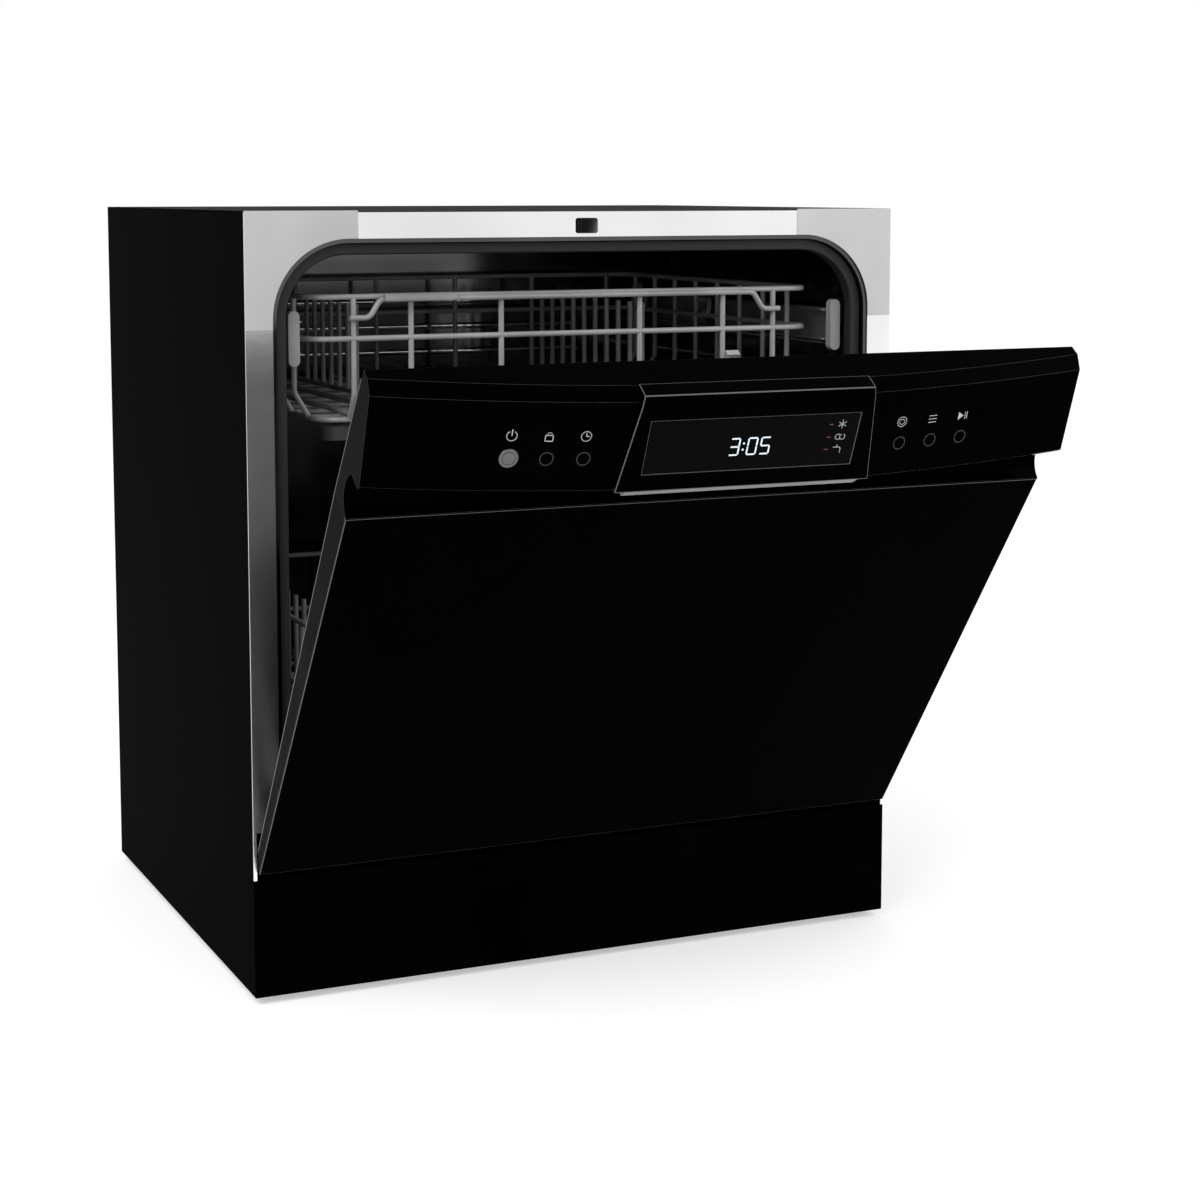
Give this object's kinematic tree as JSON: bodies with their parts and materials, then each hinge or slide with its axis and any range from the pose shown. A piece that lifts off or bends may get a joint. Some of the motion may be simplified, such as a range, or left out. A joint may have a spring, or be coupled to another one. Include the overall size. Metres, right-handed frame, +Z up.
{
  "type": "countertop dishwasher",
  "caption": "Free-standing countertop dishwasher with a drop-down door held ajar, bowed control fascia with display, steel tub, two sliding wire racks and spray arms.",
  "frame": {"origin": "centre of the casing's footprint at the level of the feet's soles", "axes": "+X to the machine's right seen from its front, +Y from the door to the back, +Z up"},
  "size_m": [0.55, 0.7522, 0.601],
  "materials": {
    "black_satin_steel": "satin powder coat, fine grain",
    "stainless_frame": "polished stainless with a faint brushed grain",
    "stainless_tub": "bright annealed stainless",
    "zinc_steel": "galvanised sheet",
    "gloss_black_fascia": "high gloss",
    "gloss_black_panel": "high gloss sheet",
    "black_plastic": "fine grained matte",
    "dark_grey_plastic": "moulded, matte",
    "grey_plastic": "moulded, satin",
    "pale_plastic": "moulded, satin",
    "white_plastic": "moulded, satin",
    "coated_wire": "nylon coated steel wire",
    "black_rubber": "soft, matte",
    "silver_trim": "brushed, anodised",
    "silver_button": "satin chrome",
    "smoked_window": "smoked, clear coated",
    "green_board": "solder mask"
  },
  "bodies": {
    "cabinet": {"side_panel_left": "black_satin_steel", "side_panel_right": "black_satin_steel", "top_cover": "black_satin_steel", "rear_panel": "zinc_steel", "plinth": "black_satin_steel", "base_pan": "black_plastic", "feet": "black_rubber", "front_frame": "stainless_frame", "corner_plates": "grey_plastic", "tub": "stainless_tub", "tub_gasket": "black_rubber", "hinge_brackets": "zinc_steel", "door_springs": "zinc_steel", "latch_catch": "dark_grey_plastic", "sump": "dark_grey_plastic", "filter_plate": "stainless_tub", "wash_pump": "black_plastic", "drain_pump": "black_plastic", "softener": "pale_plastic", "inlet_valve": "white_plastic", "power_gland": "black_rubber", "feed_pipe": "dark_grey_plastic"},
    "filter_cup": {"filter_cup": "dark_grey_plastic"},
    "salt_cap": {"salt_cap": "dark_grey_plastic"},
    "lower_spray_arm": {"lower_spray_arm": "grey_plastic"},
    "front_tub_rollers": {"front_tub_rollers": "dark_grey_plastic"},
    "rear_tub_rollers": {"rear_tub_rollers": "dark_grey_plastic"},
    "rails": {"upper_rails": "zinc_steel", "rail_caps": "grey_plastic"},
    "upper_rack": {"upper_basket": "coated_wire", "upper_basket_floor": "coated_wire", "handle_sleeve": "grey_plastic", "upper_arm_feed": "dark_grey_plastic"},
    "upper_front_wheels": {"upper_front_wheels": "dark_grey_plastic"},
    "upper_rear_wheels": {"upper_rear_wheels": "dark_grey_plastic"},
    "upper_spray_arm": {"upper_spray_arm": "grey_plastic"},
    "lower_rack": {"lower_basket": "coated_wire", "lower_basket_floor": "coated_wire"},
    "cutlery_basket": {"cutlery_basket": "grey_plastic"},
    "lower_front_wheels": {"lower_front_wheels": "dark_grey_plastic"},
    "lower_rear_wheels": {"lower_rear_wheels": "dark_grey_plastic"},
    "door": {"door_panel": "gloss_black_panel", "door_frame": "black_plastic", "door_liner": "stainless_tub", "control_fascia": "gloss_black_fascia", "display_block": "gloss_black_fascia", "display_window": "smoked_window", "silver_strip": "silver_trim", "hinge_arms": "zinc_steel", "display_board": "green_board", "dispenser_body": "grey_plastic", "door_hook": "zinc_steel"},
    "power_button": {"power_button": "silver_button"},
    "lock_button": {"lock_button": "gloss_black_fascia"},
    "timer_button": {"timer_button": "gloss_black_fascia"},
    "program_button": {"program_button": "gloss_black_fascia"},
    "function_button": {"function_button": "gloss_black_fascia"},
    "start_button": {"start_button": "gloss_black_fascia"},
    "dispenser_lid": {"dispenser_lid": "grey_plastic"},
    "rinse_cap": {"rinse_cap": "dark_grey_plastic"}
  },
  "joints": [
    {"name": "door_hinge", "type": "hinge", "parent": "cabinet", "child": "door", "pos_m": [0, -0.207, 0.153], "axis": [1, 0, 0], "range_deg": [-36, 54], "deforming": ["door_springs"]},
    {"name": "power_button_press", "type": "slide", "parent": "door", "child": "power_button", "axis": [0.0817, 0.938, 0.3369], "range_m": [0, 0.0012], "stiffness_N_per_m": 400, "springref_m": -0.0008},
    {"name": "lock_button_press", "type": "slide", "parent": "door", "child": "lock_button", "axis": [0.0695, 0.9388, 0.3374], "range_m": [0, 0.0012], "stiffness_N_per_m": 400, "springref_m": -0.0008},
    {"name": "timer_button_press", "type": "slide", "parent": "door", "child": "timer_button", "axis": [0.0574, 0.9394, 0.3379], "range_m": [0, 0.0012], "stiffness_N_per_m": 400, "springref_m": -0.0008},
    {"name": "program_button_press", "type": "slide", "parent": "door", "child": "program_button", "axis": [-0.056, 0.9395, 0.338], "range_m": [0, 0.0012], "stiffness_N_per_m": 400, "springref_m": -0.0008},
    {"name": "function_button_press", "type": "slide", "parent": "door", "child": "function_button", "axis": [-0.0681, 0.9389, 0.3375], "range_m": [0, 0.0012], "stiffness_N_per_m": 400, "springref_m": -0.0008},
    {"name": "start_button_press", "type": "slide", "parent": "door", "child": "start_button", "axis": [-0.0803, 0.9381, 0.3369], "range_m": [0, 0.0012], "stiffness_N_per_m": 400, "springref_m": -0.0008},
    {"name": "dispenser_lid_hinge", "type": "hinge", "parent": "door", "child": "dispenser_lid", "pos_m": [0, -0.31133, 0.28733], "axis": [-1, 0, 0], "range_deg": [0, 100]},
    {"name": "rinse_cap_turn", "type": "hinge", "parent": "door", "child": "rinse_cap", "pos_m": [0.036, -0.33772, 0.3176], "axis": [0, 0.809, 0.5878], "range_deg": [0, 90]},
    {"name": "salt_cap_turn", "type": "hinge", "parent": "cabinet", "child": "salt_cap", "pos_m": [-0.15, -0.07, 0.133], "axis": [0, 0, 1], "continuous": true},
    {"name": "filter_cup_lift", "type": "slide", "parent": "cabinet", "child": "filter_cup", "axis": [0, 0, 1], "range_m": [0, 0.04]},
    {"name": "lower_arm_spin", "type": "hinge", "parent": "cabinet", "child": "lower_spray_arm", "pos_m": [0, 0.025, 0.133], "axis": [0, 0, 1], "continuous": true},
    {"name": "rails_slide", "type": "slide", "parent": "cabinet", "child": "rails", "axis": [0, -1, 0], "range_m": [0, 0.16]},
    {"name": "upper_rack_slide", "type": "slide", "parent": "rails", "child": "upper_rack", "axis": [0, -1, 0], "range_m": [0, 0.19]},
    {"name": "upper_arm_spin", "type": "hinge", "parent": "upper_rack", "child": "upper_spray_arm", "pos_m": [0, -0.01, 0.42], "axis": [0, 0, 1], "continuous": true},
    {"name": "lower_rack_slide", "type": "slide", "parent": "cabinet", "child": "lower_rack", "axis": [0, -1, 0], "range_m": [0, 0.05]},
    {"name": "cutlery_basket_lift", "type": "slide", "parent": "lower_rack", "child": "cutlery_basket", "axis": [0, 0, 1], "range_m": [0, 0.1]},
    {"name": "front_tub_rollers_spin", "type": "hinge", "parent": "cabinet", "child": "front_tub_rollers", "pos_m": [0, -0.164, 0.505], "axis": [1, 0, 0], "continuous": true},
    {"name": "rear_tub_rollers_spin", "type": "hinge", "parent": "cabinet", "child": "rear_tub_rollers", "pos_m": [0, -0.042, 0.505], "axis": [1, 0, 0], "continuous": true},
    {"name": "upper_front_wheels_spin", "type": "hinge", "parent": "upper_rack", "child": "upper_front_wheels", "pos_m": [0, 0.008, 0.505], "axis": [1, 0, 0], "continuous": true},
    {"name": "upper_rear_wheels_spin", "type": "hinge", "parent": "upper_rack", "child": "upper_rear_wheels", "pos_m": [0, 0.142, 0.505], "axis": [1, 0, 0], "continuous": true},
    {"name": "lower_front_wheels_spin", "type": "hinge", "parent": "lower_rack", "child": "lower_front_wheels", "pos_m": [0, -0.148, 0.1593], "axis": [1, 0, 0], "continuous": true},
    {"name": "lower_rear_wheels_spin", "type": "hinge", "parent": "lower_rack", "child": "lower_rear_wheels", "pos_m": [0, 0.138, 0.1593], "axis": [1, 0, 0], "continuous": true}
  ],
  "couplings": [
    {"joint": "front_tub_rollers_spin", "follows": "rails_slide", "rad_per_m": 89.286},
    {"joint": "rear_tub_rollers_spin", "follows": "rails_slide", "rad_per_m": 89.286},
    {"joint": "upper_front_wheels_spin", "follows": "upper_rack_slide", "rad_per_m": 89.286},
    {"joint": "upper_rear_wheels_spin", "follows": "upper_rack_slide", "rad_per_m": 89.286},
    {"joint": "lower_front_wheels_spin", "follows": "lower_rack_slide", "rad_per_m": 76.923},
    {"joint": "lower_rear_wheels_spin", "follows": "lower_rack_slide", "rad_per_m": 76.923}
  ]
}
